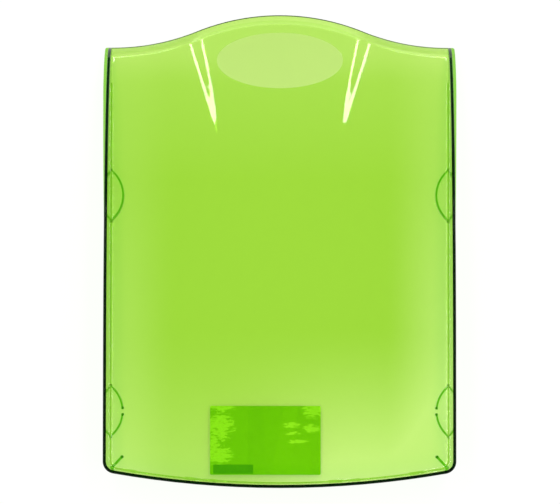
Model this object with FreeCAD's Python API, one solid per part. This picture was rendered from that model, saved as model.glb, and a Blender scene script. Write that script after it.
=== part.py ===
"""Stackable A4 / C4 letter tray in clear tinted plastic, with its underside label.

Front is -Y, the closed back is +Y, +Z is up. The origin is the middle of the box round the tray,
on the surface that it stands on. All sizes are in millimetres.
"""

import FreeCAD, Part
import math
import os

os.makedirs("parts", exist_ok=True)
Vector = FreeCAD.Vector

# Overall plan
LENGTH = 337.0  # tip of the front tongue to the outside of the back wall
BODY_WIDTH = 244.8  # over the outsides of the two side walls
WALL = 2.2  # thickness of the walls
FLOOR_THICKNESS = 2.0
BACK_RADIUS = 670.0  # the back wall bows outward in this arc
CORNER_RADIUS = 8.6  # outside of the two rear corners

# Heights above the desk
RIB_HEIGHT = 6.0  # the stacking ribs hold the floor this far off the desk
TRAY_HEIGHT = 63.0  # desk to rim

# Front edge: one wave, whose crest is the tongue
WAVE_HEIGHT = 23.5  # how far the tongue stands out past the sides of the front
WAVE_HALF_SPAN = 119.3  # centreline to where the wave runs out flat
FRONT_CORNER_RADIUS = 1.6

# Lip: the front edge turns down, and its turn runs on round the corners as two low wings
LIP_DROP = 4.9
LIP_WIDTH = 6.5  # at the sides of the front
TONGUE_LIP_WIDTH = 3.9  # along the tongue, where less is left to drop
BEND_SHARE = 0.4  # part of the lip's width that its bend takes
WING_WIDTH = 4.0  # widest reach past the side wall
WING_CORNER_WIDTH = 2.8  # reach at the front corner
WING_PEAK = 34.0  # from the front corner back to the widest place
WING_RADIUS = 5285.0  # the wing's edge runs back into the wall in this arc

# Tongue: a scoop pressed down between two creases that fade out towards the back
SCOOP_DEPTH = 4.0  # at the tip
SCOOP_LENGTH = 125.0
SCOOP_POWER = 1.45  # 1 is a straight ramp, and more than 1 levels out softly at the back
CREASE_WIDTH = 7.0  # plan width of the step at each side of the scoop
CREASE_OUTSET = 5.85  # turn of the wave out to the crease, level with the tip
CREASE_REAR = 38.0  # centreline to crease, at the back of the scoop
CREASE_BOW = 2.2  # how far each crease bows towards the centreline

# Matt writing field on the tongue
FIELD_LENGTH = 90.6
FIELD_WIDTH = 40.2
FIELD_SETBACK = 32.8  # tip to its centre
FIELD_DEPTH = 0.12

# Side walls: the rim climbs from the front corner in a quarter of an ellipse
RIM_RISE = 217.0  # length of the climb
RIM_SETBACK = 1.0  # front edge to the start of the climb
RIM_BEVEL = 0.4
FOOT_ROUNDING = 1.2  # inside corner between the floor and the walls
FOOT_SETBACK = 26.0  # front edge to the start of that rounding, on the level floor behind the lip

# Stacking ribs under the floor
RIB = 1.4
ARCH_CHORD = 35.4  # the D-shaped ribs, along the wall
ARCH_DEPTH = 8.4
FRONT_ARCH = 129.8  # tip to the middle of the front pair
REAR_ARCH = 283.9  # tip to the middle of the rear pair
STACK_CLEARANCE = 0.25  # each side of the lower tray's back wall in the rear pair's slot
SLOT_POST_RADIUS = 0.95
BRACE = 1.8  # the slanting ribs in the rear corners
BRACE_LENGTH = 10.9
BRACE_INSET = 10.2  # inner end of the brace, in from the outside of the side wall
BRACE_SETBACK = 316.4  # tip to that inner end
BRACE_ANGLE = 47.0
BRACE_POST_RADIUS = 1.15

# Label on the underside
LABEL_LENGTH = 78.9
LABEL_WIDTH = 49.1
LABEL_THICKNESS = 0.12
LABEL_OFFSET = 10.1  # centreline to its centre
LABEL_SETBACK = 304.6  # tip to its centre
LABEL_CORNER = 1.2

# Construction
LIP_ROWS = 6  # how closely the sheet is drawn across the lip, the scoop, the creases and the wings
SCOOP_ROWS = 5
FLOOR_ROWS = 4
TONGUE_COLUMNS = 3
CREASE_COLUMNS = 2
FLOOR_COLUMNS = 3
WING_COLUMNS = 9
LIP_MARGIN = 2.0  # how far the close rows run past the lip
SCOOP_MARGIN = 6.0  # how far the scoop's rows run past its back end
CREASE_SPREAD = 0.6  # share of the crease's width that its columns take on each side of it
STRAIGHTENING = 1.5  # how much sooner than the scoop ends the rows stop following the wave
SLOPE_STEP = 0.5  # over which the front edge's slope is taken
NORMAL_STEP = 0.01  # over which the sheet's own slope is taken
SAME = 1e-6  # points closer than this are the same
EDGE_REACH = 3.0  # how far the floor's drawn surface runs past its outline
REACH = 5.0  # how far a cutting or trimming shape runs past what it cuts
OVERLAP = 1.0  # how far the ribs and walls run into the floor that they are moulded with

tip_y = -LENGTH / 2
side_front_y = tip_y + WAVE_HEIGHT
back_y = LENGTH / 2
half_body = BODY_WIDTH / 2
floor_bottom = RIB_HEIGHT
floor_top = RIB_HEIGHT + FLOOR_THICKNESS
wave_radius = (WAVE_HALF_SPAN**2 + WAVE_HEIGHT**2) / (4 * WAVE_HEIGHT)
back_centre_y = back_y - BACK_RADIUS
crease_front = WAVE_HALF_SPAN / 2 + CREASE_OUTSET


def point(x, y, z=0.0):
    return Vector(x, y, z)


def eased(t):
    """0 to 1 with level ends."""
    t = min(max(t, 0.0), 1.0)
    return t * t * (3 - 2 * t)


def wave(x):
    """How far behind the tip the front edge lies at x: two tangent arcs and a flat."""
    x = abs(x)
    if x <= WAVE_HALF_SPAN / 2:
        return wave_radius - math.sqrt(wave_radius**2 - x**2)
    rest = max(WAVE_HALF_SPAN - x, 0.0)
    return WAVE_HEIGHT - wave_radius + math.sqrt(wave_radius**2 - rest**2)


def crease_x(behind_tip):
    """Distance from the centreline to the crease."""
    t = min(behind_tip / SCOOP_LENGTH, 1.0)
    return crease_front + (CREASE_REAR - crease_front) * t - 4 * CREASE_BOW * t * (1 - t)


def in_scoop(x, behind_tip):
    """1 inside the creases, 0 outside them, eased across the step."""
    return eased((crease_x(behind_tip) - abs(x)) / CREASE_WIDTH + 0.5)


def turned_down(t):
    """Share of the lip's drop at share t of its width: a round bend and then a straight slope."""
    slope = 1 / (1 - BEND_SHARE / 2)
    if t <= 0:
        return 0.0
    if t < BEND_SHARE:
        return slope * t * t / (2 * BEND_SHARE)
    return slope * (t - BEND_SHARE / 2)


def sheet_height(x, y):
    """Top surface of the floor, scoop, lip and wings."""
    behind_tip = y - tip_y
    inside = in_scoop(x, behind_tip)
    ramp = max(1 - max(behind_tip, 0.0) / SCOOP_LENGTH, 0.0) ** SCOOP_POWER
    depth = SCOOP_DEPTH * ramp * inside
    slope = (wave(x + SLOPE_STEP) - wave(x - SLOPE_STEP)) / (2 * SLOPE_STEP)
    from_edge = (behind_tip - wave(x)) / math.hypot(1, slope)
    lip_width = LIP_WIDTH + (TONGUE_LIP_WIDTH - LIP_WIDTH) * inside
    front = max(1 - from_edge / lip_width, 0.0)
    side = max((abs(x) - half_body) / LIP_WIDTH, 0.0)
    both = front + side - front * side
    return floor_top - depth - (LIP_DROP - depth) * turned_down(both)


def stations(*spans):
    """Values along a line: each span is (start, end, count) and shares its ends with its neighbours."""
    values = [spans[0][0]]
    for start, end, count in spans:
        values += [start + (end - start) * i / count for i in range(1, count + 1)]
    return values


def sheet_rows():
    """Distances behind the front edge at which the sheet is drawn, close together across the lip."""
    lip_end = LIP_WIDTH + LIP_MARGIN
    scoop_end = SCOOP_LENGTH + SCOOP_MARGIN
    near = (-EDGE_REACH, lip_end, LIP_ROWS)
    return stations(near, (lip_end, scoop_end, SCOOP_ROWS), (scoop_end, LENGTH + REACH, FLOOR_ROWS))


def sheet_columns(crease):
    """Distances from the centreline for one row: close together across the crease and the wing."""
    near = crease - CREASE_WIDTH * CREASE_SPREAD
    far = crease + CREASE_WIDTH * CREASE_SPREAD
    foot = half_body - WALL
    edge = half_body + WING_WIDTH + EDGE_REACH
    tongue = [(0, near, TONGUE_COLUMNS), (near, far, CREASE_COLUMNS)]
    return stations(*tongue, (far, foot, FLOOR_COLUMNS), (foot, edge, WING_COLUMNS))


def sheet_grid():
    """Points (x, y) in rows that follow the front edge and columns that follow the creases."""
    grid = []
    for behind in sheet_rows():
        follow = 1 - eased((behind - LIP_WIDTH) / SCOOP_LENGTH * STRAIGHTENING)
        half = sheet_columns(crease_x(max(behind, 0.0) + wave(crease_front) * follow))
        line = [-x for x in reversed(half[1:])] + half
        grid.append([(x, tip_y + behind + wave(x) * follow) for x in line])
    return grid


def sheet_surface(below):
    """The drawn surface, moved along its own normal by the distance below."""
    step = NORMAL_STEP
    net = []
    for line in sheet_grid():
        row = []
        for x, y in line:
            z = sheet_height(x, y)
            dx = (sheet_height(x + step, y) - sheet_height(x - step, y)) / (2 * step)
            dy = (sheet_height(x, y + step) - sheet_height(x, y - step)) / (2 * step)
            normal = Vector(-dx, -dy, 1).normalize()
            row.append(point(x, y, z) - normal * below)
        net.append(row)
    surface = Part.BSplineSurface()
    degree = 3
    spans = [len(net) - degree, len(net[0]) - degree]
    knots = [list(range(count + 1)) for count in spans]
    mults = [[degree + 1] + [1] * (count - 1) + [degree + 1] for count in spans]
    closed = (False, False)
    surface.buildFromPolesMultsKnots(net, *mults, *knots, *closed, degree, degree)
    return surface


def border(patch, side):
    """One side of a patch as an edge: 0 front, 1 back, 2 left, 3 right."""
    curve = patch.uIso if side < 2 else patch.vIso
    return curve(patch.bounds()[side]).toShape()


def patch_face(patch):
    """The patch as a face: a plane where flat, and drawn straight back where its section is constant."""
    lines = patch.getPoles()
    heights = [pole.z for line in lines for pole in line]
    if max(heights) - min(heights) < SAME:
        return Part.Face(Part.Wire(Part.__sortEdges__([border(patch, side) for side in range(4)])))
    back = lines[-1][0] - lines[0][0]
    drift = [(end - start - back).Length for start, end in zip(lines[0], lines[-1])]
    bulge = [abs(pole.z - start.z) for line in lines for pole, start in zip(line, lines[0])]
    if max(drift + bulge) < SAME:
        return border(patch, 0).extrude(back)
    return patch.toShape()


def sheet_patches(below):
    """The drawn surface cut into flat and curved patches: rows of them from the front to the back."""
    surface = sheet_surface(below)
    u_end, v_end = surface.bounds()[1], surface.bounds()[3]
    middle = v_end / 2
    crease_start = TONGUE_COLUMNS - 1
    crease_end = TONGUE_COLUMNS + CREASE_COLUMNS + 1
    offsets = [crease_start, crease_end, crease_end + FLOOR_COLUMNS]
    columns = [0] + [middle - k for k in reversed(offsets)] + [middle + k for k in offsets] + [v_end]
    rows = [0, LIP_ROWS, LIP_ROWS + SCOOP_ROWS, u_end]
    patches = []
    for front, back in zip(rows, rows[1:]):
        line = []
        for left, right in zip(columns, columns[1:]):
            patch = surface.copy()
            patch.segment(front, back, left, right)
            line.append(patch)
        patches.append(line)
    return patches


def slab():
    """A closed solid between the drawn surface and its parallel one below."""
    top, bottom = sheet_patches(0), sheet_patches(FLOOR_THICKNESS)
    faces = [patch_face(patch) for line in top + bottom for patch in line]
    outer = [(line, side) for line, side in ((0, 0), (-1, 1))]
    for line, side in outer:
        for upper, lower in zip(top[line], bottom[line]):
            faces.append(Part.makeRuledSurface(border(upper, side), border(lower, side)))
    for upper, lower in zip(top, bottom):
        for end, side in ((0, 2), (-1, 3)):
            faces.append(Part.makeRuledSurface(border(upper[end], side), border(lower[end], side)))
    shell = Part.makeShell(faces)
    shell.sewShape()
    return Part.makeSolid(shell)


def under(surface):
    """Everything below a drawn surface."""
    return surface.toShape().extrude(Vector(0, 0, -2 * TRAY_HEIGHT))


def arc_edge(start, middle, end):
    return Part.Arc(start, middle, end).toShape()


def line_edge(start, end):
    return Part.LineSegment(start, end).toShape()


def rear_edges(inset):
    """Plan of the side and back walls, from the left front to the right front, moved inward by inset."""
    x = half_body - inset
    corner = CORNER_RADIUS - inset
    back = BACK_RADIUS - inset
    corner_x = half_body - CORNER_RADIUS
    corner_y = back_centre_y + math.sqrt((BACK_RADIUS - CORNER_RADIUS) ** 2 - corner_x**2)
    towards = Vector(corner_x, corner_y - back_centre_y, 0).normalize()
    halfway = (towards + Vector(1, 0, 0)).normalize()
    edges = []
    for side in (-1, 1):
        centre = point(side * corner_x, corner_y)
        on_wall = point(side * x, corner_y)
        middle = centre + Vector(side * halfway.x, halfway.y, 0) * corner
        on_back = centre + Vector(side * towards.x, towards.y, 0) * corner
        edges.append((on_wall, middle, on_back))
    left, right = edges
    return [arc_edge(*left), arc_edge(left[2], point(0, back_centre_y + back), right[2]), arc_edge(*right)]


def wall_plan(inset, front_y):
    """Closed plan face inside the wall line, open ended at the front by a straight line."""
    x = half_body - inset
    rear = rear_edges(inset)
    left_start = rear[0].Vertexes[0].Point
    right_start = point(x, left_start.y)
    front_left, front_right = point(-x, front_y), point(x, front_y)
    edges = [line_edge(front_left, left_start)] + rear
    edges += [line_edge(right_start, front_right), line_edge(front_right, front_left)]
    return Part.Face(Part.Wire(Part.__sortEdges__(edges)))


def sheet_outline():
    """Plan of the floor with its wave, its lip and the two wings."""
    quarters = [WAVE_HALF_SPAN * k / 4 for k in range(5)]
    corner_x = half_body + WING_CORNER_WIDTH
    peak = point(half_body + WING_WIDTH, side_front_y + WING_PEAK)
    run_out = math.sqrt(2 * WING_RADIUS * WING_WIDTH - WING_WIDTH**2)
    cut_back = FRONT_CORNER_RADIUS * (1 - math.sqrt(0.5))
    front_run = WING_PEAK - FRONT_CORNER_RADIUS
    front_mid = front_run / 2
    front_bulge = (WING_WIDTH - WING_CORNER_WIDTH) / 4
    rear_bulge = WING_RADIUS - math.sqrt(WING_RADIUS**2 - (run_out / 2) ** 2)
    edges = rear_edges(0)
    for side in (-1, 1):
        joins = [point(side * x, tip_y + wave(x)) for x in quarters]
        round_start = point(side * (corner_x - FRONT_CORNER_RADIUS), side_front_y)
        round_middle = point(side * (corner_x - cut_back), side_front_y + cut_back)
        round_end = point(side * corner_x, side_front_y + FRONT_CORNER_RADIUS)
        front_bow = point(side * (peak.x - front_bulge), peak.y - front_mid)
        widest = point(side * peak.x, peak.y)
        rear_bow = point(side * (peak.x - rear_bulge), peak.y + run_out / 2)
        end = point(side * half_body, peak.y + run_out)
        rear_start = point(side * half_body, rear_edges(0)[0].Vertexes[0].Point.y)
        edges += [
            arc_edge(joins[0], joins[1], joins[2]),
            arc_edge(joins[2], joins[3], joins[4]),
            line_edge(joins[4], round_start),
            arc_edge(round_start, round_middle, round_end),
            arc_edge(round_end, front_bow, widest),
            arc_edge(widest, rear_bow, end),
            line_edge(end, rear_start),
        ]
    return Part.Face(Part.Wire(Part.__sortEdges__(edges)))


def make_sheet():
    """Floor, tongue, lip and wings as one sheet of even thickness."""
    prism = sheet_outline().extrude(Vector(0, 0, TRAY_HEIGHT))
    prism.translate(Vector(0, 0, -TRAY_HEIGHT / 2))
    return slab().common(prism)


def climb_profile(front_y):
    """Side view of the walls: a quarter ellipse from the front foot to the crest, then level to the back."""
    rise = TRAY_HEIGHT - floor_top
    foot = point(0, front_y, floor_top)
    crest = point(0, front_y + RIM_RISE, TRAY_HEIGHT)
    ellipse = Part.Ellipse(point(0, 0), RIM_RISE, rise)
    climb = Part.ArcOfEllipse(ellipse, math.pi / 2, math.pi).toShape()
    climb.rotate(point(0, 0), Vector(1, 0, 0), 90)
    climb.rotate(point(0, 0), Vector(0, 0, 1), 90)
    climb.translate(point(0, front_y + RIM_RISE, floor_top))
    back_top = point(0, back_y + REACH, TRAY_HEIGHT)
    back_low, foot_low = point(0, back_top.y, -REACH), point(0, foot.y, -REACH)
    edges = [climb, line_edge(crest, back_top), line_edge(back_top, back_low)]
    edges += [line_edge(back_low, foot_low), line_edge(foot_low, foot)]
    return Part.Face(Part.Wire(Part.__sortEdges__(edges)))


def make_walls():
    """Side and back walls in one U, with the climbing rim, its edges bevelled."""
    front_y = side_front_y + RIM_SETBACK
    tall = Vector(0, 0, TRAY_HEIGHT + 2 * REACH)
    block = wall_plan(0, front_y).extrude(tall)
    room = wall_plan(WALL, front_y - REACH).extrude(tall)
    ring = block.cut(room)
    ring.translate(Vector(0, 0, -REACH))
    profile = climb_profile(front_y)
    profile.translate(Vector(-BODY_WIDTH, 0, 0))
    walls = ring.common(profile.extrude(Vector(2 * BODY_WIDTH, 0, 0))).Solids[0]
    return walls.makeChamfer(RIM_BEVEL, [edge for edge in walls.Edges if on_rim(edge)])


def on_rim(edge):
    """True for the edges that run along the rim, on the inside or the outside of the walls."""
    box = edge.BoundBox
    return box.ZMax > floor_top + FOOT_ROUNDING and (box.YLength > WALL or box.XLength > 2 * WALL)


def make_foot():
    """The rounded inside corner where the walls rise from the level floor behind the lip."""
    front_y = side_front_y + FOOT_SETBACK
    level = Vector(0, 0, floor_top)
    block = wall_plan(WALL / 2, front_y).extrude(Vector(0, 0, FOOT_ROUNDING))
    room = wall_plan(WALL, front_y - REACH).extrude(Vector(0, 0, 2 * FOOT_ROUNDING))
    low = [edge for edge in room.Edges if edge.BoundBox.ZMax < SAME]
    foot = block.cut(room.makeFillet(FOOT_ROUNDING, low))
    foot.translate(level)
    return foot


def arch_rib(middle_y, side):
    """A D-shaped rib: an arc in plan whose two ends meet the side wall."""
    radius = ((ARCH_CHORD / 2) ** 2 + ARCH_DEPTH**2) / (2 * ARCH_DEPTH)
    inner_wall = half_body - WALL
    centre = point(side * (inner_wall - ARCH_DEPTH + radius), middle_y)
    height = RIB_HEIGHT + OVERLAP
    outer = Part.makeCylinder(radius + RIB / 2, height, centre)
    inner = Part.makeCylinder(radius - RIB / 2, height, centre)
    span = 2 * ARCH_CHORD
    reach = ARCH_DEPTH + RIB + WALL / 2
    near_x = inner_wall + WALL / 2
    left = near_x - reach if side > 0 else -near_x
    return outer.cut(inner).common(Part.makeBox(reach, span, height, point(left, middle_y - span / 2)))


def slotted_arch(middle_y, side):
    """A D-shaped rib with a slot at its middle for the back wall of the tray below."""
    slot = WALL + 2 * STACK_CLEARANCE
    rib_x = side * (half_body - WALL - ARCH_DEPTH)
    height = RIB_HEIGHT + OVERLAP
    gap = Part.makeBox(4 * RIB, slot, height, point(rib_x - 2 * RIB, middle_y - slot / 2))
    rib = arch_rib(middle_y, side).cut(gap)
    for end in (-1, 1):
        post_y = middle_y + end * (slot / 2 + SLOT_POST_RADIUS)
        rib = rib.fuse(Part.makeCylinder(SLOT_POST_RADIUS, height, point(rib_x, post_y)))
    return rib


def corner_brace(side):
    """A slanting rib that braces a rear corner, with a round post at its inner end."""
    height = RIB_HEIGHT + OVERLAP
    start = point(side * (half_body - BRACE_INSET), tip_y + BRACE_SETBACK)
    angle = BRACE_ANGLE if side > 0 else 180 - BRACE_ANGLE
    bar = Part.makeBox(BRACE_LENGTH, BRACE, height, point(start.x, start.y - BRACE / 2))
    bar.rotate(start, Vector(0, 0, 1), angle)
    return bar.fuse(Part.makeCylinder(BRACE_POST_RADIUS, height, start))


def field_recess():
    """The shallow oval of the matt writing field, cut parallel to the tongue."""
    centre = point(0, tip_y + FIELD_SETBACK, -REACH)
    oval = Part.Ellipse(centre, FIELD_LENGTH / 2, FIELD_WIDTH / 2).toShape()
    prism = Part.Face(Part.Wire(oval)).extrude(Vector(0, 0, TRAY_HEIGHT))
    above = sheet_surface(FIELD_DEPTH).toShape().extrude(Vector(0, 0, TRAY_HEIGHT))
    return above.common(prism)


def make_tray():
    """The whole moulding: sheet, walls and ribs in one solid."""
    walls = make_walls().cut(under(sheet_surface(OVERLAP)))
    tray = make_sheet().cut(field_recess()).fuse(walls).fuse(make_foot())
    for side in (-1, 1):
        tray = tray.fuse(arch_rib(tip_y + FRONT_ARCH, side))
        tray = tray.fuse(slotted_arch(tip_y + REAR_ARCH, side))
        tray = tray.fuse(corner_brace(side))
    return tray.Solids[0]


def make_label():
    """The thin self-adhesive label under the floor."""
    corner = point(-LABEL_LENGTH / 2, -LABEL_WIDTH / 2, 0)
    sheet = Part.makeBox(LABEL_LENGTH, LABEL_WIDTH, LABEL_THICKNESS, corner)
    upright = [edge for edge in sheet.Edges if edge.BoundBox.ZLength > LABEL_THICKNESS / 2]
    label = sheet.makeFillet(LABEL_CORNER, upright)
    label.translate(point(LABEL_OFFSET, tip_y + LABEL_SETBACK, floor_bottom - LABEL_THICKNESS))
    return label


def main():
    make_tray().exportStep("parts/tray_moulding.step")
    make_label().exportStep("parts/underside_label.step")


main()
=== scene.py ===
"""Clear lime-green letter tray on a white desk: its plastic, its label, desk, lamps and camera.

Sizes are in metres, in the tray's own frame: front is -Y, the closed back is +Y, +Z is up.
"""

import math

import bpy
from mathutils import Matrix, Vector


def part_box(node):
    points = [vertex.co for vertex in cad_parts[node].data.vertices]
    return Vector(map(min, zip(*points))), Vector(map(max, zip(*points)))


bl_info = {
    "name": "Letter tray",
    "version": (1, 0, 0),
    "blender": (4, 5, 0),
    "location": "View3D > Sidebar > Letter tray",
    "description": "Finishes a clear lime-green letter tray and stands it on a white desk in soft light",
    "category": "Object",
}

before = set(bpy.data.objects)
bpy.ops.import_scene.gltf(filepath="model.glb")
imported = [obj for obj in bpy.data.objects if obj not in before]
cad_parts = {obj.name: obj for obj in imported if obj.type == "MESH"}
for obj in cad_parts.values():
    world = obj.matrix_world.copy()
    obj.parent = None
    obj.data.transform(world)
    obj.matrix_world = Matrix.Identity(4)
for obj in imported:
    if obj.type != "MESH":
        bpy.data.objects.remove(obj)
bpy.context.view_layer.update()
tray_low, tray_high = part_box("tray_moulding")
label_low, label_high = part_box("underside_label")

PLASTIC_IOR = 1.59
NO_TINT = (1.0, 1.0, 1.0)
FLOOR_TOP = 0.008

# Painted light: stretches over which the plastic's colour grows lighter, where more light comes in under
# the tray:
# start and end in metres from the middle of the tray, and the lightness at each of the two
BACK_FADE = (0.055, 0.155, 0.0, 1.06)
BACK_FADE_ACROSS = (0.05, -0.06, 0.42, 1.0)
BACK_FADE_POWER = 1.5
LEFT_FADE = (-0.074, -0.118, 0.0, 0.62)
RIGHT_FADE = (0.072, 0.114, 0.0, 0.3)
SIDE_FADE_ALONG = (-0.1, 0.05, 0.35, 1.0)
TONGUE_FADE = (-0.05, -0.115, 0.0, 0.17)
FRONT_FADE = (-0.115, -0.145, 0.0, 0.28)
LIP_LIGHTNESS = 0.32

# Centreline to where the lip is narrowest and to where it has its full width
LIP_NARROWEST = 0.03
LIP_FULL = 0.08
# Share of the lip's width at which its mask is whole
LIP_WHOLE = 0.93
# Stretch over which the front edge's roughness fades out
ROUGHNESS_FADE = 0.002

# The oval's mask is whole inside this share of its squared radius, and only on faces that look up
FIELD_WHOLE = 0.985
FIELD_LEAST_FACING = 0.5
# Least upward part of the normal of a face that counts as rim
RIM_LEAST_FACING = 0.15

# Ribs stand behind this line; the tongue's underside in front of it is as low as they are
RIBS_FROM = -0.1
# Gap between the underside of the floor and the part of a rib that has the ribs' painted shade
RIB_TOP_GAP = 0.0003
# Round posts at the ends of the ribs: centreline and middle of the tray to each one's centre
RIB_POSTS = ((0.1118, 0.1131), (0.1118, 0.1177), (0.1122, 0.1479))
POST_RADIUS = 0.0012

# Air pockets under the label: middle across and along it, and half sizes, all as shares of its sides
AIR_POCKETS = (
    (0.09, 0.00, 0.16, 0.09),
    (0.08, 0.30, 0.14, 0.20),
    (0.03, 0.55, 0.06, 0.20),
    (0.08, 0.72, 0.13, 0.13),
    (0.93, 0.06, 0.10, 0.13),
    (0.74, 0.28, 0.09, 0.05),
    (0.74, 0.40, 0.08, 0.03),
    (0.80, 0.52, 0.09, 0.03),
    (0.92, 0.33, 0.08, 0.06),
)
# Squared distance from a pocket's middle, in half sizes, at which it starts and at which it is whole
POCKET_EDGE = (1.15, 0.85)
# How far uneven adhesive pushes the pockets' edges in and out, and how much it shows between them
POCKET_RAGGEDNESS = (0.3, 0.7, -0.9, 1.5)
ADHESIVE_STREAKS = (0.35, 0.65, 0.0, 0.14)
STREAK_STRETCH = (0.3, 1.0, 1.0)
# Dark strip: from and to across the label and along it, as shares of its sides
STRIP_ACROSS = (0.03, 0.39)
STRIP_ALONG = (0.85, 0.985)

DESK_HALF_SIZE = 20.0
# A hair under the ribs, so that their faces don't lie in the desk's
DESK_TOP = -0.0001
FRONT_LAMP_DIRECTION = (-0.45, -0.75, 1.0)


class TrayPlasticSettings(bpy.types.PropertyGroup):
    tint: bpy.props.FloatVectorProperty(
        name="Tint",
        description="Colour that a thick piece of the plastic lets through",
        subtype="COLOR",
        size=3,
        min=0.0,
        max=1.0,
        default=(0.703, 0.936, 0.0),
    )
    tint_density: bpy.props.FloatProperty(
        name="Tint density",
        description="How strongly the plastic takes out the rest of the light, per metre",
        min=0.0,
        default=455.0,
    )
    # Painted shade: the colour in the middle of the floor, where least light comes in under the tray
    shaded_middle_colour: bpy.props.FloatVectorProperty(
        name="Deep colour",
        description="What is left of the light in the middle of the floor, where the tint looks deepest",
        subtype="COLOR",
        size=3,
        min=0.0,
        max=1.0,
        default=(0.577, 0.765, 0.22),
    )
    # Painted shade: the rim is made near black, standing in for the little light that comes up through the
    # deep walls
    rim_painted_shade: bpy.props.FloatVectorProperty(
        name="Rim colour",
        description="What is left of the light that enters the walls through their rim",
        subtype="COLOR",
        size=3,
        min=0.0,
        max=1.0,
        default=(0.0004, 0.006, 0.0),
    )
    # Painted shade: the ribs seen through the floor get a darker copy of the plastic's colour
    rib_painted_shade: bpy.props.FloatVectorProperty(
        name="Rib colour",
        description="What is left of the light in the ribs under the floor",
        subtype="COLOR",
        size=3,
        min=0.0,
        max=1.0,
        default=(0.25, 0.5, 0.05),
    )
    # Painted shade: the round posts get a still darker copy of the plastic's colour
    post_painted_shade: bpy.props.FloatVectorProperty(
        name="Post colour",
        description="What is left of the light in the round posts at the ends of the ribs",
        subtype="COLOR",
        size=3,
        min=0.0,
        max=1.0,
        default=(0.03, 0.14, 0.0),
    )
    # Painted shade: a darker line in the rounded corner between the floor and the walls
    foot_painted_shade: bpy.props.FloatVectorProperty(
        name="Foot colour",
        description="What is left of the light in the rounded corner between the floor and the walls",
        subtype="COLOR",
        size=3,
        min=0.0,
        max=1.0,
        default=(0.3, 0.6, 0.06),
    )
    # Painted shade: the low wings beside the front corners are made darker than the floor
    wing_painted_shade: bpy.props.FloatVectorProperty(
        name="Wing colour",
        description="What is left of the light in the low wings beside the front corners",
        subtype="COLOR",
        size=3,
        min=0.0,
        max=1.0,
        default=(0.5, 0.75, 0.4),
    )
    edge_colour: bpy.props.FloatVectorProperty(
        name="Edge colour",
        description="What is left of the light along the very edge of the front",
        subtype="COLOR",
        size=3,
        min=0.0,
        max=1.0,
        default=(0.05, 0.08, 0.03),
    )
    field_colour: bpy.props.FloatVectorProperty(
        name="Field colour",
        description="What is left of the light in the matt writing field",
        subtype="COLOR",
        size=3,
        min=0.0,
        max=1.0,
        default=(0.72, 0.755, 0.54),
    )
    edge_width: bpy.props.FloatProperty(
        name="Edge width",
        description="Width of the darker line along the very edge of the front",
        unit="LENGTH",
        min=0.0,
        default=0.0007,
    )
    rib_height: bpy.props.FloatProperty(
        name="Rib height",
        description="From the desk to the underside of the floor",
        unit="LENGTH",
        min=0.0,
        default=0.006,
    )
    rib_inset: bpy.props.FloatProperty(
        name="Rib inset",
        description="Centreline to the inner ends of the ribs",
        unit="LENGTH",
        min=0.0,
        default=0.1105,
    )
    floor_height: bpy.props.FloatProperty(
        name="Floor height",
        description="Height above the desk over which the rounded foot of the walls starts",
        unit="LENGTH",
        min=0.0,
        default=0.00815,
    )
    wing_width: bpy.props.FloatProperty(
        name="Wing width",
        description="Widest reach of the low wings past the side walls",
        unit="LENGTH",
        min=0.0,
        default=0.0039,
    )
    rim_base: bpy.props.FloatProperty(
        name="Rim base",
        description="Height above the desk from which upward faces count as rim",
        unit="LENGTH",
        min=0.0,
        default=0.0096,
    )
    wave_height: bpy.props.FloatProperty(
        name="Wave height",
        description="How far the tongue stands out past the sides of the front",
        unit="LENGTH",
        min=0.001,
        default=0.0235,
    )
    wave_half_span: bpy.props.FloatProperty(
        name="Wave half span",
        description="Centreline to where the wave of the front edge runs out",
        unit="LENGTH",
        min=0.001,
        default=0.1193,
    )
    lip_width: bpy.props.FloatProperty(
        name="Lip width",
        description="Width of the turned-down front edge at its sides",
        unit="LENGTH",
        min=0.0,
        default=0.0062,
    )
    tongue_lip_width: bpy.props.FloatProperty(
        name="Tongue lip width",
        description="Width of the turned-down front edge along the tongue",
        unit="LENGTH",
        min=0.0,
        default=0.0039,
    )
    polish: bpy.props.FloatProperty(
        name="Polish roughness",
        description="Roughness of the polished faces",
        subtype="FACTOR",
        min=0.0,
        max=1.0,
        default=0.03,
    )
    edge_roughness: bpy.props.FloatProperty(
        name="Front edge roughness",
        description="Roughness of the turned-down front edge",
        subtype="FACTOR",
        min=0.0,
        max=1.0,
        default=0.3,
    )
    field_roughness: bpy.props.FloatProperty(
        name="Writing field roughness",
        description="Roughness of the matt writing field on the tongue",
        subtype="FACTOR",
        min=0.0,
        max=1.0,
        default=0.42,
    )
    field_length: bpy.props.FloatProperty(
        name="Writing field length",
        description="Size of the matt oval across the tray",
        unit="LENGTH",
        min=0.0,
        default=0.0906,
    )
    field_width: bpy.props.FloatProperty(
        name="Writing field width",
        description="Size of the matt oval along the tray",
        unit="LENGTH",
        min=0.0,
        default=0.0402,
    )
    field_setback: bpy.props.FloatProperty(
        name="Writing field setback",
        description="From the tip of the tongue to the middle of the oval",
        unit="LENGTH",
        min=0.0,
        default=0.0328,
    )


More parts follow.
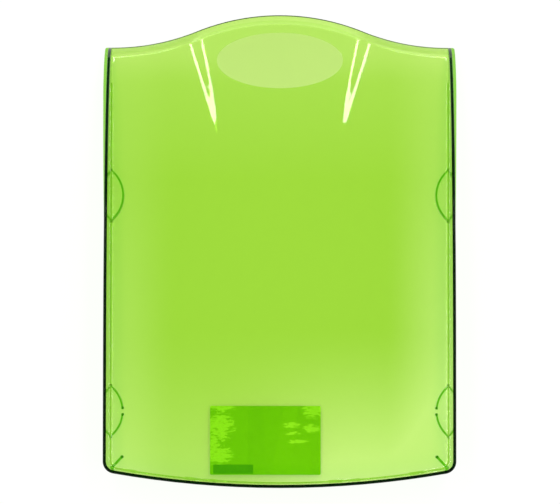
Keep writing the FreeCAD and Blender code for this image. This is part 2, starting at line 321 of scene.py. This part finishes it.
class LabelSettings(bpy.types.PropertyGroup):
    stuck_colour: bpy.props.FloatVectorProperty(
        name="Stuck colour",
        description="Adhesive side where it lies flat on the plastic",
        subtype="COLOR",
        size=3,
        min=0.0,
        max=1.0,
        default=(0.29, 0.62, 0.0),
    )
    lifted_colour: bpy.props.FloatVectorProperty(
        name="Lifted colour",
        description="Adhesive side where air is caught under it",
        subtype="COLOR",
        size=3,
        min=0.0,
        max=1.0,
        default=(0.56, 0.9, 0.1),
    )
    strip_colour: bpy.props.FloatVectorProperty(
        name="Strip colour",
        description="Plain dark strip in one corner of the label, seen from its adhesive side",
        subtype="COLOR",
        size=3,
        min=0.0,
        max=1.0,
        default=(0.13, 0.42, 0.003),
    )
    face_colour: bpy.props.FloatVectorProperty(
        name="Face colour",
        description="Bare outer face of the film",
        subtype="COLOR",
        size=3,
        min=0.0,
        max=1.0,
        default=(0.80, 0.81, 0.79),
    )


class StudioSettings(bpy.types.PropertyGroup):
    desk_colour: bpy.props.FloatVectorProperty(
        name="Desk colour",
        description="Plain white of the desk and the backdrop",
        subtype="COLOR",
        size=3,
        min=0.0,
        max=1.0,
        default=(0.95, 0.95, 0.95),
    )
    backdrop_share: bpy.props.FloatProperty(
        name="Backdrop share",
        description="How much of the desk shows as pure white backdrop and not as lit surface",
        subtype="FACTOR",
        min=0.0,
        max=1.0,
        default=0.88,
    )
    share_through: bpy.props.FloatProperty(
        name="Backdrop share through plastic",
        description="The same share where the desk shows through the plastic",
        subtype="FACTOR",
        min=0.0,
        max=1.0,
        default=0.3,
    )
    sky: bpy.props.FloatProperty(
        name="Sky",
        description="Strength of the even light from all round",
        min=0.0,
        default=0.87,
    )
    reflected_sky: bpy.props.FloatProperty(
        name="Reflected sky",
        description="Strength of that light where the polished faces mirror it",
        min=0.0,
        default=0.05,
    )
    side_lamp_power: bpy.props.FloatProperty(
        name="Side lamp power",
        description="Power of each of the two long lamps above the sides",
        unit="POWER",
        min=0.0,
        default=6.8,
    )
    side_lamp_angle: bpy.props.FloatProperty(
        name="Side lamp angle",
        description="How far each side lamp leans away from straight above",
        subtype="ANGLE",
        min=0.0,
        max=math.pi / 2,
        default=math.radians(11.65),
    )
    side_lamp_width: bpy.props.FloatProperty(
        name="Side lamp width",
        description="Size of each side lamp across the tray",
        unit="LENGTH",
        min=0.01,
        default=0.185,
    )
    side_lamp_length: bpy.props.FloatProperty(
        name="Side lamp length",
        description="Size of each side lamp along the tray",
        unit="LENGTH",
        min=0.01,
        default=1.2,
    )
    lamp_distance: bpy.props.FloatProperty(
        name="Lamp distance",
        description="Tray to lamps",
        unit="LENGTH",
        min=0.1,
        default=1.6,
    )
    front_lamp_power: bpy.props.FloatProperty(
        name="Front lamp power",
        description="Power of the small lamp beyond the left front corner",
        unit="POWER",
        min=0.0,
        default=2.0,
    )
    front_lamp_size: bpy.props.FloatProperty(
        name="Front lamp size",
        description="Side of the small square lamp",
        unit="LENGTH",
        min=0.01,
        default=0.35,
    )
    camera_height: bpy.props.FloatProperty(
        name="Camera height",
        description="Camera above the tray's floor",
        unit="LENGTH",
        min=0.1,
        default=2.0,
    )
    camera_setback: bpy.props.FloatProperty(
        name="Camera setback",
        description="Middle of the tray back to the point straight below the camera",
        unit="LENGTH",
        default=0.115,
    )
    camera_aside: bpy.props.FloatProperty(
        name="Camera aside",
        description="How far the camera stands to the right of the tray's centreline",
        unit="LENGTH",
        default=-0.00025,
    )
    view_middle: bpy.props.FloatProperty(
        name="View middle",
        description="Middle of the tray to the middle of the picture, along the tray",
        unit="LENGTH",
        default=0.0019,
    )
    shift: bpy.props.FloatProperty(
        name="Lens shift",
        description="Share of the picture's width that the lens is shifted by, towards the tray's front",
        default=0.1,
    )
    roll: bpy.props.FloatProperty(
        name="Camera roll",
        description="How far the camera is turned about its own axis",
        subtype="ANGLE",
        default=math.radians(0.05),
    )
    view_width: bpy.props.FloatProperty(
        name="View width",
        description="Width that the picture takes in at the tray's floor",
        unit="LENGTH",
        min=0.01,
        default=0.3992,
    )


class MaterialBuilder:
    """A material's nodes, with short ways to add and join them."""

    def __init__(self, tree):
        self.tree = tree
        self.nodes = tree.nodes
        self.nodes.clear()

    def add(self, kind, **values):
        """A node with the given properties."""
        node = self.nodes.new(kind)
        for name, value in values.items():
            setattr(node, name, value)
        return node

    def join(self, source, target):
        self.tree.links.new(source, target)

    def split(self, vector):
        """The X, Y and Z outputs of a vector."""
        node = self.add("ShaderNodeSeparateXYZ")
        self.join(vector, node.inputs[0])
        return node.outputs

    def math(self, operation, *sources, clamp=False):
        """A Math node whose inputs are numbers or other nodes' outputs."""
        node = self.add("ShaderNodeMath", operation=operation, use_clamp=clamp)
        for socket, source in zip(node.inputs, sources):
            if isinstance(source, bpy.types.NodeSocket):
                self.join(source, socket)
            else:
                socket.default_value = source
        return node.outputs[0]

    def noise(self, place, scale, detail, roughness=0.5):
        node = self.add("ShaderNodeTexNoise")
        node.inputs["Scale"].default_value = scale
        node.inputs["Detail"].default_value = detail
        node.inputs["Roughness"].default_value = roughness
        self.join(place, node.inputs["Vector"])
        return node.outputs["Fac"]

    def ramp(self, source, low, high, out_low=0.0, out_high=1.0, kind="LINEAR"):
        """A value that goes from out_low to out_high as the source goes from low to high."""
        node = self.add("ShaderNodeMapRange", clamp=True, interpolation_type=kind)
        node.inputs["From Min"].default_value = low
        node.inputs["From Max"].default_value = high
        node.inputs["To Min"].default_value = out_low
        node.inputs["To Max"].default_value = out_high
        self.join(source, node.inputs["Value"])
        return node.outputs["Result"]

    def mix_colour(self, factor, first, second):
        node = self.add("ShaderNodeMix", data_type="RGBA")
        sockets = [socket for socket in node.inputs if socket.type == "RGBA"]
        for socket, source in zip(sockets, (first, second)):
            if isinstance(source, bpy.types.NodeSocket):
                self.join(source, socket)
            else:
                socket.default_value = (*source, 1.0)
        self.join(factor, node.inputs["Factor"])
        return next(socket for socket in node.outputs if socket.type == "RGBA")


def new_material(name):
    material = bpy.data.materials.new(name)
    material.use_nodes = True
    return material, MaterialBuilder(material.node_tree)


def moulded_grain_group():
    """Fine unevenness of a moulded or pressed surface: a roughness that varies and a height for bump."""
    name = "moulded_grain"
    if name in bpy.data.node_groups:
        return bpy.data.node_groups[name]
    group = bpy.data.node_groups.new(name, "ShaderNodeTree")
    sockets = group.interface
    for socket, default in (("Roughness", 0.1), ("Variation", 0.02), ("Scale", 400.0)):
        made = sockets.new_socket(name=socket, in_out="INPUT", socket_type="NodeSocketFloat")
        made.default_value = default
    sockets.new_socket(name="Roughness", in_out="OUTPUT", socket_type="NodeSocketFloat")
    sockets.new_socket(name="Height", in_out="OUTPUT", socket_type="NodeSocketFloat")
    build = MaterialBuilder(group)
    given = build.add("NodeGroupInput")
    out = build.add("NodeGroupOutput")
    place = build.add("ShaderNodeTexCoord").outputs["Object"]
    fine = build.add("ShaderNodeTexNoise")
    fine.inputs["Detail"].default_value = 3.0
    build.join(place, fine.inputs["Vector"])
    build.join(given.outputs["Scale"], fine.inputs["Scale"])
    broad = build.noise(place, scale=14.0, detail=3.0)
    swing = build.math("MULTIPLY", build.math("SUBTRACT", broad, 0.5), given.outputs["Variation"])
    whole_swing = build.math("MULTIPLY", swing, 2.0)
    rough = build.math("ADD", given.outputs["Roughness"], whole_swing, clamp=True)
    build.join(rough, out.inputs["Roughness"])
    build.join(fine.outputs["Fac"], out.inputs["Height"])
    return group


def add_grain(build, roughness, variation, scale):
    """The shared grain placed in one material. Roughness may be a number or an output."""
    node = build.add("ShaderNodeGroup", node_tree=moulded_grain_group())
    if isinstance(roughness, bpy.types.NodeSocket):
        build.join(roughness, node.inputs["Roughness"])
    else:
        node.inputs["Roughness"].default_value = roughness
    node.inputs["Variation"].default_value = variation
    node.inputs["Scale"].default_value = scale
    return node.outputs["Roughness"], node.outputs["Height"]


def add_bump(build, height, strength, distance):
    node = build.add("ShaderNodeBump")
    node.inputs["Strength"].default_value = strength
    node.inputs["Distance"].default_value = distance
    build.join(height, node.inputs["Height"])
    return node.outputs["Normal"]


class TraySurface:
    """Where a point of the tray lies and which way its face looks, as outputs of a material's nodes."""

    def __init__(self, build, settings):
        coordinates = build.add("ShaderNodeTexCoord")
        self.place = build.split(coordinates.outputs["Object"])
        self.facing = build.split(coordinates.outputs["Normal"])
        self.aside = build.math("ABSOLUTE", self.place["X"])
        self.behind = behind_front_edge(build, self.place, self.aside, settings)


def behind_front_edge(build, place, aside, settings):
    """How far a point lies behind the waved front edge, which is two arcs on each side of the tongue."""
    span, height = settings.wave_half_span, settings.wave_height
    radius = (span**2 + height**2) / (4 * height)
    chord = build.math("MINIMUM", aside, build.math("MAXIMUM", build.math("SUBTRACT", span, aside), 0.0))
    squared = build.math("SUBTRACT", radius**2, build.math("MULTIPLY", chord, chord))
    run = build.math("SQRT", squared)
    inner_arc = build.math("SUBTRACT", radius, run)
    outer = build.math("GREATER_THAN", aside, span / 2)
    to_outer_arc = build.math("SUBTRACT", height, build.math("MULTIPLY", inner_arc, 2.0))
    wave = build.math("MULTIPLY_ADD", outer, to_outer_arc, inner_arc)
    behind = build.math("SUBTRACT", build.math("SUBTRACT", place["Y"], tray_low.y), wave)
    return build.math("MULTIPLY", behind, build.math("DIVIDE", run, radius))


def writing_field_mask(build, surface, settings):
    """1 on the matt oval of the tongue's upper face, 0 on the polished plastic round it."""
    middle_y = tray_low.y + settings.field_setback
    from_middle = build.math("SUBTRACT", surface.place["Y"], middle_y)
    across = build.math("DIVIDE", surface.place["X"], settings.field_length / 2)
    along = build.math("DIVIDE", from_middle, settings.field_width / 2)
    across_squared = build.math("MULTIPLY", across, across)
    squares = build.math("ADD", across_squared, build.math("MULTIPLY", along, along))
    inside = build.ramp(squares, 1.0, FIELD_WHOLE)
    looking_up = build.math("GREATER_THAN", surface.facing["Z"], FIELD_LEAST_FACING)
    return build.math("MULTIPLY", inside, looking_up)


def lip_mask(build, surface, settings):
    """1 on the turned-down front edge, which is narrower along the tongue."""
    widths = (settings.tongue_lip_width, settings.lip_width)
    width = build.ramp(surface.aside, LIP_NARROWEST, LIP_FULL, *widths, kind="SMOOTHSTEP")
    return build.ramp(build.math("DIVIDE", surface.behind, width), 1.0, LIP_WHOLE)


def painted_floor_light(build, place, lip):
    """Painted light: 0 in the middle of the floor, where least light comes in under the tray, 1 where it is
    lightest: at the back, the sides and the lip.
    """
    back = build.math("POWER", build.ramp(place["Y"], *BACK_FADE), BACK_FADE_POWER)
    across = build.ramp(place["X"], *BACK_FADE_ACROSS, kind="SMOOTHSTEP")
    back = build.math("MULTIPLY", back, across)
    left = build.ramp(place["X"], *LEFT_FADE, kind="SMOOTHSTEP")
    right = build.ramp(place["X"], *RIGHT_FADE, kind="SMOOTHSTEP")
    along = build.ramp(place["Y"], *SIDE_FADE_ALONG)
    sides = build.math("MULTIPLY", build.math("ADD", left, right), along)
    tongue = build.ramp(place["Y"], *TONGUE_FADE)
    front = build.math("ADD", tongue, build.ramp(place["Y"], *FRONT_FADE, kind="SMOOTHSTEP"))
    total = build.math("ADD", build.math("ADD", back, front), sides)
    return build.math("MULTIPLY_ADD", lip, LIP_LIGHTNESS, total, clamp=True)


def post_mask(build, surface):
    """1 inside the plan of the round posts."""
    total = 0.0
    for post_x, post_y in RIB_POSTS:
        across = build.math("SUBTRACT", surface.aside, post_x)
        along = build.math("SUBTRACT", surface.place["Y"], post_y)
        squares = build.math("MULTIPLY_ADD", across, across, build.math("MULTIPLY", along, along))
        total = build.math("MAXIMUM", build.math("LESS_THAN", squares, POST_RADIUS**2), total)
    return total


def rib_mask(build, surface, settings):
    """1 on the ribs under the floor."""
    low = build.math("LESS_THAN", surface.place["Z"], settings.rib_height - RIB_TOP_GAP)
    ribs = build.math("MULTIPLY", low, build.math("GREATER_THAN", surface.aside, settings.rib_inset))
    return build.math("MULTIPLY", ribs, build.math("GREATER_THAN", surface.place["Y"], RIBS_FROM))


def plastic_colour(build, surface, field, settings):
    """What the surface leaves of the light, with painted light and shade: all where the floor is painted
    lightest, darker on the ribs, posts, foot and wings, least on the rim.
    """
    place = surface.place
    in_plan = build.math("LESS_THAN", surface.aside, tray_high.x - settings.wing_width)
    # Painted light and shade on the floor: lighter towards the back, sides, front and lip, the shaded
    # colour in the middle
    light = painted_floor_light(build, place, lip_mask(build, surface, settings))
    colour = build.mix_colour(light, settings.shaded_middle_colour, NO_TINT)
    edge = build.math("LESS_THAN", surface.behind, settings.edge_width)
    edge = build.math("MULTIPLY", edge, in_plan)
    colour = build.mix_colour(edge, colour, settings.edge_colour)
    colour = build.mix_colour(field, colour, settings.field_colour)
    # Painted shade on the ribs and, darker still, on their round posts
    ribs = rib_mask(build, surface, settings)
    colour = build.mix_colour(ribs, colour, settings.rib_painted_shade)
    posts = build.math("MULTIPLY", ribs, post_mask(build, surface))
    colour = build.mix_colour(posts, colour, settings.post_painted_shade)
    # Painted shade in the rounded corner between the floor and the walls
    below_rim = build.math("LESS_THAN", place["Z"], settings.rim_base)
    above_floor = build.math("GREATER_THAN", place["Z"], settings.floor_height)
    foot = build.math("MULTIPLY", below_rim, above_floor)
    colour = build.mix_colour(foot, colour, settings.foot_painted_shade)
    # Painted shade on the low wings past the side walls
    wings = build.math("SUBTRACT", below_rim, in_plan, clamp=True)
    colour = build.mix_colour(wings, colour, settings.wing_painted_shade)
    # Painted shade: upward faces high on the walls get the near-black rim colour
    high = build.math("GREATER_THAN", place["Z"], settings.rim_base)
    looking_up = build.math("GREATER_THAN", surface.facing["Z"], RIM_LEAST_FACING)
    rim = build.math("MULTIPLY", high, looking_up)
    return build.mix_colour(rim, colour, settings.rim_painted_shade)


def plastic_roughness(build, surface, field, settings):
    """Polished all over, apart from the writing field and the turned-down front edge."""
    polished = build.ramp(field, 0.0, 1.0, settings.polish, settings.field_roughness)
    fade_end = settings.lip_width + ROUGHNESS_FADE
    turned = build.ramp(surface.behind, fade_end, settings.lip_width, 0.0, settings.edge_roughness)
    return build.math("MAXIMUM", polished, turned)


def tray_plastic_material(settings):
    """Clear plastic that takes out light by depth; shadow and bounced rays pass straight through."""
    material, build = new_material("clear_lime_plastic")
    surface = TraySurface(build, settings)
    field = writing_field_mask(build, surface, settings)
    base_roughness = plastic_roughness(build, surface, field, settings)
    roughness, height = add_grain(build, base_roughness, variation=0.01, scale=900.0)
    plastic = build.add("ShaderNodeBsdfPrincipled")
    build.join(plastic_colour(build, surface, field, settings), plastic.inputs["Base Color"])
    plastic.inputs["IOR"].default_value = PLASTIC_IOR
    plastic.inputs["Transmission Weight"].default_value = 1.0
    build.join(roughness, plastic.inputs["Roughness"])
    bump = add_bump(build, height, strength=0.02, distance=0.0002)
    build.join(bump, plastic.inputs["Normal"])
    through = build.add("ShaderNodeBsdfTransparent")
    rays = build.add("ShaderNodeLightPath")
    mix = build.add("ShaderNodeMixShader")
    passing = build.math("MAXIMUM", rays.outputs["Is Shadow Ray"], rays.outputs["Is Diffuse Ray"])
    build.join(passing, mix.inputs["Fac"])
    build.join(plastic.outputs["BSDF"], mix.inputs[1])
    build.join(through.outputs["BSDF"], mix.inputs[2])
    tint = build.add("ShaderNodeVolumeAbsorption")
    tint.inputs["Color"].default_value = (*settings.tint, 1.0)
    tint.inputs["Density"].default_value = settings.tint_density
    out = build.add("ShaderNodeOutputMaterial")
    build.join(mix.outputs["Shader"], out.inputs["Surface"])
    build.join(tint.outputs["Volume"], out.inputs["Volume"])
    return material


def label_shares(build, place):
    """How far across and along the label a point lies: shares of its sides, from the front corner at +X."""
    size = label_high - label_low
    across = build.math("DIVIDE", build.math("SUBTRACT", label_high.x, place["X"]), size.x)
    along = build.math("DIVIDE", build.math("SUBTRACT", place["Y"], label_low.y), size.y)
    return across, along


def air_pockets(build, across, along, ragged):
    """1 where air is caught under the label, with ragged edges."""
    total = 0.0
    for middle_across, middle_along, half_across, half_along in AIR_POCKETS:
        one = build.math("DIVIDE", build.math("SUBTRACT", across, middle_across), half_across)
        other = build.math("DIVIDE", build.math("SUBTRACT", along, middle_along), half_along)
        squares = build.math("MULTIPLY_ADD", one, one, build.math("MULTIPLY", other, other))
        inside = build.ramp(build.math("ADD", squares, ragged), *POCKET_EDGE)
        total = build.math("MAXIMUM", inside, total)
    return total


def printed_strip(build, across, along):
    """1 on the plain dark strip in one corner of the label."""
    inside = 1.0
    for share, (start, end) in ((across, STRIP_ACROSS), (along, STRIP_ALONG)):
        inside = build.math("MULTIPLY", build.math("GREATER_THAN", share, start), inside)
        inside = build.math("MULTIPLY", build.math("LESS_THAN", share, end), inside)
    return inside


def label_material(settings):
    """Thin film: mostly stuck flat, with air caught under it in patches, and a bare outer face."""
    material, build = new_material("label_film")
    coordinates = build.add("ShaderNodeTexCoord")
    place = coordinates.outputs["Object"]
    across, along = label_shares(build, build.split(place))
    stretch = build.add("ShaderNodeVectorMath", operation="MULTIPLY")
    stretch.inputs[1].default_value = STREAK_STRETCH
    build.join(place, stretch.inputs[0])
    streaks = build.noise(stretch.outputs["Vector"], scale=700.0, detail=5.0, roughness=0.7)
    ragged = build.ramp(streaks, *POCKET_RAGGEDNESS)
    pockets = air_pockets(build, across, along, ragged)
    adhesive = build.mix_colour(pockets, settings.stuck_colour, settings.lifted_colour)
    faint = build.ramp(streaks, *ADHESIVE_STREAKS)
    adhesive = build.mix_colour(faint, adhesive, settings.lifted_colour)
    adhesive = build.mix_colour(printed_strip(build, across, along), adhesive, settings.strip_colour)
    facing = build.split(coordinates.outputs["Normal"])
    facing_down = build.math("LESS_THAN", facing["Z"], 0.0)
    colour = build.mix_colour(facing_down, adhesive, settings.face_colour)
    roughness, height = add_grain(build, 0.35, variation=0.05, scale=1500.0)
    film = build.add("ShaderNodeBsdfPrincipled")
    build.join(colour, film.inputs["Base Color"])
    film.inputs["Specular IOR Level"].default_value = 0.0
    build.join(roughness, film.inputs["Roughness"])
    bump = add_bump(build, height, strength=0.1, distance=0.0001)
    build.join(bump, film.inputs["Normal"])
    out = build.add("ShaderNodeOutputMaterial")
    build.join(film.outputs["BSDF"], out.inputs["Surface"])
    return material


def seen_directly(build, settings):
    """Share of pure white in what shows: less of it through the plastic, and none in bounced light."""
    rays = build.add("ShaderNodeLightPath")
    seen = build.math("MAXIMUM", rays.outputs["Is Camera Ray"], rays.outputs["Is Glossy Ray"])
    seen = build.math("MAXIMUM", seen, rays.outputs["Is Transmission Ray"])
    less = settings.share_through - settings.backdrop_share
    through = rays.outputs["Is Transmission Ray"]
    share = build.math("MULTIPLY_ADD", through, less, settings.backdrop_share)
    return build.math("MULTIPLY", seen, share)


def desk_material(settings):
    material, build = new_material("white_desk")
    roughness, height = add_grain(build, 0.8, variation=0.02, scale=300.0)
    desk = build.add("ShaderNodeBsdfPrincipled")
    desk.inputs["Base Color"].default_value = (*settings.desk_colour, 1.0)
    desk.inputs["Specular IOR Level"].default_value = 0.0
    build.join(roughness, desk.inputs["Roughness"])
    bump = add_bump(build, height, strength=0.02, distance=0.0001)
    build.join(bump, desk.inputs["Normal"])
    white = build.add("ShaderNodeEmission")
    mix = build.add("ShaderNodeMixShader")
    build.join(seen_directly(build, settings), mix.inputs["Fac"])
    build.join(desk.outputs["BSDF"], mix.inputs[1])
    build.join(white.outputs["Emission"], mix.inputs[2])
    out = build.add("ShaderNodeOutputMaterial")
    build.join(mix.outputs["Shader"], out.inputs["Surface"])
    return material


def finish_node(name, material):
    """Gives a CAD node its material in every slot."""
    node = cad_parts[name]
    if not node.material_slots:
        node.data.materials.append(material)
    for place in node.material_slots:
        place.material = material


def make_desk(settings):
    mesh = bpy.data.meshes.new("desk")
    signs = ((-1, -1), (1, -1), (1, 1), (-1, 1))
    corners = [(x * DESK_HALF_SIZE, y * DESK_HALF_SIZE, DESK_TOP) for x, y in signs]
    mesh.from_pydata(corners, [], [(0, 1, 2, 3)])
    mesh.materials.append(desk_material(settings))
    desk = bpy.data.objects.new("desk", mesh)
    bpy.context.scene.collection.objects.link(desk)


def make_sky(settings):
    """Even light from all round; white where the camera sees it directly."""
    world = bpy.data.worlds.new("studio")
    world.use_nodes = True
    build = MaterialBuilder(world.node_tree)
    rays = build.add("ShaderNodeLightPath")
    light = build.add("ShaderNodeBackground")
    less = settings.reflected_sky - settings.sky
    strength = build.math("MULTIPLY_ADD", rays.outputs["Is Glossy Ray"], less, settings.sky)
    build.join(strength, light.inputs["Strength"])
    white = build.add("ShaderNodeBackground")
    seen = build.math("MAXIMUM", rays.outputs["Is Camera Ray"], rays.outputs["Is Transmission Ray"])
    mix = build.add("ShaderNodeMixShader")
    build.join(seen, mix.inputs["Fac"])
    build.join(light.outputs["Background"], mix.inputs[1])
    build.join(white.outputs["Background"], mix.inputs[2])
    out = build.add("ShaderNodeOutputWorld")
    build.join(mix.outputs["Shader"], out.inputs["Surface"])
    bpy.context.scene.world = world


def aim(thing, place, target, up=Vector((0.0, 1.0, 0.0))):
    """Puts a lamp or camera at a place, looking at the target, its own upward side towards up."""
    thing.location = place
    back = (place - target).normalized()
    right = up.cross(back).normalized()
    top = back.cross(right)
    thing.rotation_mode = "QUATERNION"
    thing.rotation_quaternion = Matrix((right, top, back)).transposed().to_quaternion()


def add_lamp(name, direction, distance, size, power):
    """A rectangular lamp that looks at the middle of the tray from the given direction."""
    lamp = bpy.data.lights.new(name, "AREA")
    lamp.shape = "RECTANGLE"
    lamp.size, lamp.size_y = size
    lamp.energy = power
    holder = bpy.data.objects.new(name, lamp)
    bpy.context.scene.collection.objects.link(holder)
    aim(holder, Vector(direction).normalized() * distance, Vector((0.0, 0.0, 0.0)))


def make_lamps(settings):
    lean = settings.side_lamp_angle
    size = (settings.side_lamp_width, settings.side_lamp_length)
    for name, side in (("left_lamp", -1), ("right_lamp", 1)):
        direction = (side * math.sin(lean), 0.0, math.cos(lean))
        add_lamp(name, direction, settings.lamp_distance, size, settings.side_lamp_power)
    size = (settings.front_lamp_size, settings.front_lamp_size)
    power = settings.front_lamp_power
    add_lamp("front_lamp", FRONT_LAMP_DIRECTION, settings.lamp_distance, size, power)


def make_camera(settings):
    data = bpy.data.cameras.new("camera")
    aside = settings.camera_aside
    target_y = settings.view_middle + settings.shift * settings.view_width
    target = Vector((aside, target_y, FLOOR_TOP))
    place = Vector((aside, settings.camera_setback, FLOOR_TOP + settings.camera_height))
    data.lens = data.sensor_width * (place - target).length / settings.view_width
    data.shift_y = settings.shift
    camera = bpy.data.objects.new("camera", data)
    bpy.context.scene.collection.objects.link(camera)
    front_up = Vector((math.sin(settings.roll), -math.cos(settings.roll), 0.0))
    aim(camera, place, target, up=front_up)
    bpy.context.scene.camera = camera


class LETTERTRAY_OT_tray(bpy.types.Operator):
    """Gives the tray moulding its clear tinted plastic with the matt writing field"""

    bl_idname = "lettertray.tray"
    bl_label = "Finish tray moulding"

    def execute(self, context):
        material = tray_plastic_material(context.scene.tray_plastic)
        finish_node("tray_moulding", material)
        return {"FINISHED"}


class LETTERTRAY_OT_label(bpy.types.Operator):
    """Gives the label under the floor its film"""

    bl_idname = "lettertray.label"
    bl_label = "Finish underside label"

    def execute(self, context):
        material = label_material(context.scene.tray_label)
        finish_node("underside_label", material)
        return {"FINISHED"}


class LETTERTRAY_OT_studio(bpy.types.Operator):
    """Makes the desk, the even sky, the lamps and the camera"""

    bl_idname = "lettertray.studio"
    bl_label = "Make studio"

    def execute(self, context):
        settings = context.scene.tray_studio
        make_desk(settings)
        make_sky(settings)
        make_lamps(settings)
        make_camera(settings)
        context.scene.view_settings.view_transform = "Standard"
        return {"FINISHED"}


class LETTERTRAY_PT_panel(bpy.types.Panel):
    """Settings and steps of the letter tray"""

    bl_label = "Letter tray"
    bl_idname = "LETTERTRAY_PT_panel"
    bl_space_type = "VIEW_3D"
    bl_region_type = "UI"
    bl_category = "Letter tray"

    def draw(self, context):
        scene = context.scene
        steps = (
            (scene.tray_plastic, LETTERTRAY_OT_tray),
            (scene.tray_label, LETTERTRAY_OT_label),
            (scene.tray_studio, LETTERTRAY_OT_studio),
        )
        for settings, step in steps:
            box = self.layout.box()
            for name in settings.__annotations__:
                box.prop(settings, name)
            box.operator(step.bl_idname)


CLASSES = (
    TrayPlasticSettings,
    LabelSettings,
    StudioSettings,
    LETTERTRAY_OT_tray,
    LETTERTRAY_OT_label,
    LETTERTRAY_OT_studio,
    LETTERTRAY_PT_panel,
)


def register():
    for each in CLASSES:
        bpy.utils.register_class(each)
    scene = bpy.types.Scene
    scene.tray_plastic = bpy.props.PointerProperty(type=TrayPlasticSettings)
    scene.tray_label = bpy.props.PointerProperty(type=LabelSettings)
    scene.tray_studio = bpy.props.PointerProperty(type=StudioSettings)


def unregister():
    scene = bpy.types.Scene
    del scene.tray_plastic, scene.tray_label, scene.tray_studio
    for each in reversed(CLASSES):
        bpy.utils.unregister_class(each)


def main():
    register()
    bpy.ops.lettertray.tray()
    bpy.ops.lettertray.label()
    bpy.ops.lettertray.studio()


if __name__ == "__main__":
    main()
